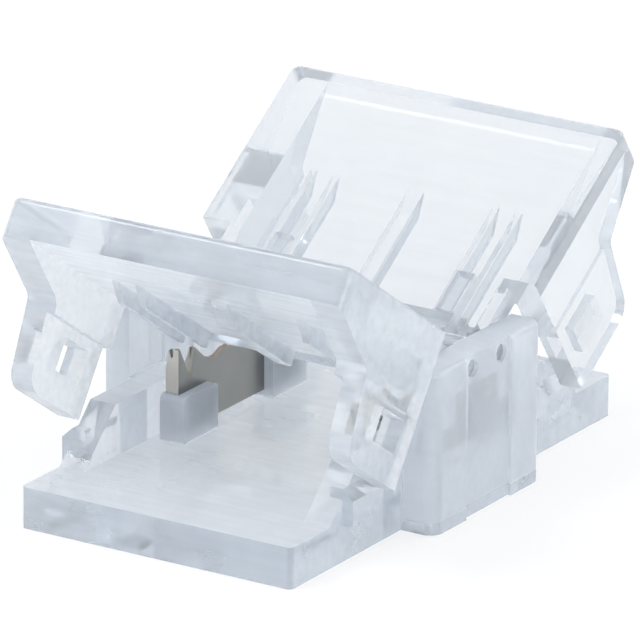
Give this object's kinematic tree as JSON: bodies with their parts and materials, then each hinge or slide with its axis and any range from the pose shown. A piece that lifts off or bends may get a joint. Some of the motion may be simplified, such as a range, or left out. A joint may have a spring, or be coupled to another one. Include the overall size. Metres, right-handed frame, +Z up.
{
  "type": "led strip connector",
  "caption": "Clear plastic connector whose hinged lids press the ends of flat LED strips onto piercing sheet-metal contacts.",
  "frame": {"origin": "centre of the base's underside", "axes": "+Z up from the underside, Y along the strips with the front lid towards -Y, X across the strips along both hinge lines"},
  "size_m": [0.016, 0.0244, 0.0131],
  "materials": {
    "clear_plastic": "clear moulded plastic with a slight cool tint",
    "contact_metal": "nickel-plated sheet metal with bare sheared edges"
  },
  "bodies": {
    "base": {"base_housing": "clear_plastic", "contact_left": "contact_metal", "contact_right": "contact_metal"},
    "front_cover": {"front_lid": "clear_plastic"},
    "rear_cover": {"rear_lid": "clear_plastic"}
  },
  "joints": [
    {"name": "front_lid_hinge", "type": "hinge", "parent": "base", "child": "front_cover", "pos_m": [0, -0.0011, 0.00625], "axis": [-1, 0, 0], "range_deg": [-34, 0]},
    {"name": "rear_lid_hinge", "type": "hinge", "parent": "base", "child": "rear_cover", "pos_m": [0, 0.0011, 0.00625], "axis": [1, 0, 0], "range_deg": [-34, 0]}
  ]
}
